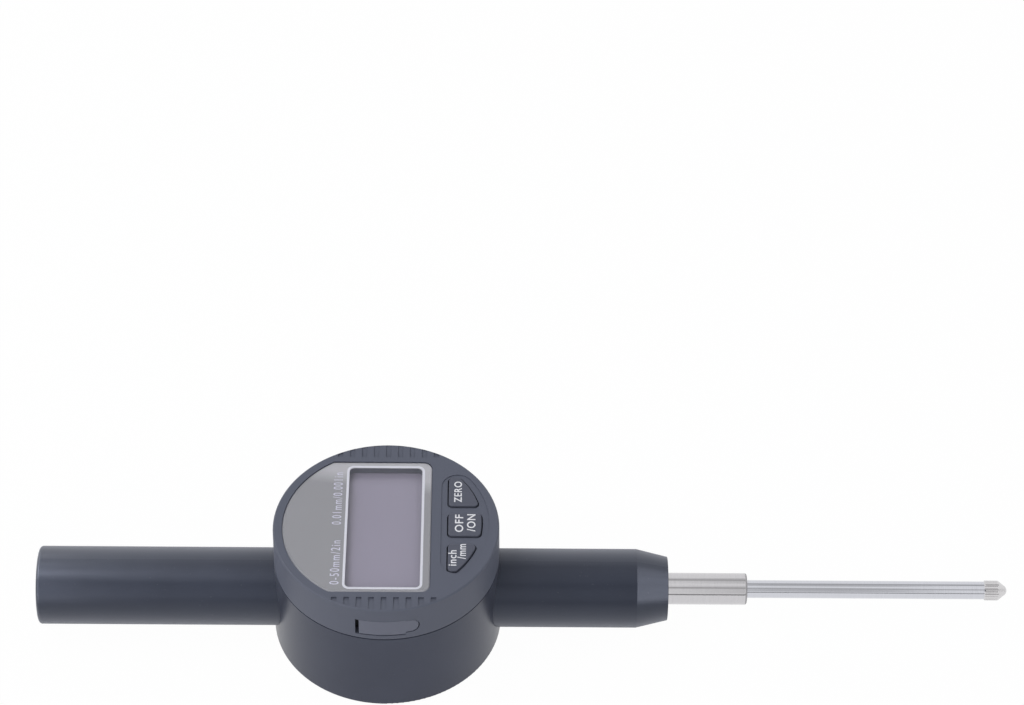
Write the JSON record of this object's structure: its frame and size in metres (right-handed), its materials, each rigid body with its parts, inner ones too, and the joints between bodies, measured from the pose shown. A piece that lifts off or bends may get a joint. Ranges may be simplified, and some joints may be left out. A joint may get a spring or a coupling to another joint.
{
  "type": "digital indicator",
  "caption": "Long-travel digital indicator with a round turning display head, push keys, battery drawer, closed rear tube, ground stem and sliding spindle with a ball-ended point.",
  "frame": {"origin": "centre of the flat back that the indicator lies on, under the middle of the display head", "axes": "+X along the spindle towards the contact point, +Z out of the display face, +Y across, away from the battery drawer"},
  "size_m": [0.2441, 0.0574, 0.0348],
  "materials": {
    "case_paint": "satin grey-blue paint on cast metal",
    "tube_paint": "satin dark paint on drawn tube",
    "cover_plastic": "fine matt moulded plastic",
    "key_plastic": "fine matt moulded plastic",
    "clear_panel": "clear polished acrylic",
    "mask_print": "silver-grey print",
    "lcd_glass": "blank liquid crystal display behind glass",
    "stem_steel": "fine ground",
    "spindle_steel": "polished",
    "tip_steel": "knurled and polished",
    "bronze": "turned",
    "rubber": "matt",
    "inner_plastic": "moulded",
    "aluminium": "milled",
    "circuit_board": "solder mask",
    "wire": "insulated wires",
    "spring_steel": "drawn wire and strip",
    "cell_steel": "pressed and plated",
    "screw_steel": "plated"
  },
  "bodies": {
    "case": {"rear_case": "case_paint", "back_plate": "case_paint", "back_screws": "screw_steel", "rear_tube": "tube_paint", "nose_tube": "tube_paint", "stem": "stem_steel", "front_bushing": "bronze", "rear_bushing": "bronze", "bumper": "rubber", "guide_block": "inner_plastic", "guide_rod": "spindle_steel", "return_spring": "spring_steel", "chassis_plate": "aluminium", "chassis_screws": "screw_steel", "sensor_board": "circuit_board", "sensor_screws": "screw_steel", "link_lead": "wire", "friction_washer": "inner_plastic"},
    "spindle": {"spindle": "spindle_steel", "contact_point": "tip_steel", "scale_carrier": "aluminium", "scale_strip": "circuit_board", "scale_screws": "screw_steel", "guide_arm": "bronze", "arm_screw": "screw_steel"},
    "head": {"front_cover": "cover_plastic", "display_window": "clear_panel", "window_mask": "mask_print", "lcd_panel": "lcd_glass", "lcd_frame": "inner_plastic", "zebra_strips": "rubber", "main_board": "circuit_board", "key_mat": "rubber", "head_base": "inner_plastic", "cover_screws": "screw_steel", "retaining_ring": "inner_plastic", "ring_screws": "screw_steel", "lower_contact": "spring_steel", "upper_contact": "spring_steel"},
    "zero_key": {"zero_key": "key_plastic"},
    "power_key": {"power_key": "key_plastic"},
    "unit_key": {"unit_key": "key_plastic"},
    "drawer": {"battery_drawer": "cover_plastic", "button_cell": "cell_steel"}
  },
  "joints": [
    {"name": "spindle_slide", "type": "slide", "parent": "case", "child": "spindle", "axis": [-1, 0, 0], "range_m": [0, 0.0508], "stiffness_N_per_m": 12, "springref_m": -0.09, "deforming": ["return_spring"]},
    {"name": "head_turn", "type": "hinge", "parent": "case", "child": "head", "pos_m": [0, 0, 0.0238], "axis": [0, 0, 1], "range_deg": [-160, 160]},
    {"name": "zero_press", "type": "slide", "parent": "head", "child": "zero_key", "axis": [0, 0, -1], "range_m": [0, 0.0005], "stiffness_N_per_m": 400},
    {"name": "power_press", "type": "slide", "parent": "head", "child": "power_key", "axis": [0, 0, -1], "range_m": [0, 0.0005], "stiffness_N_per_m": 400},
    {"name": "unit_press", "type": "slide", "parent": "head", "child": "unit_key", "axis": [0, 0, -1], "range_m": [0, 0.0005], "stiffness_N_per_m": 400},
    {"name": "drawer_slide", "type": "slide", "parent": "head", "child": "drawer", "axis": [0, -1, 0], "range_m": [0, 0.015]}
  ]
}
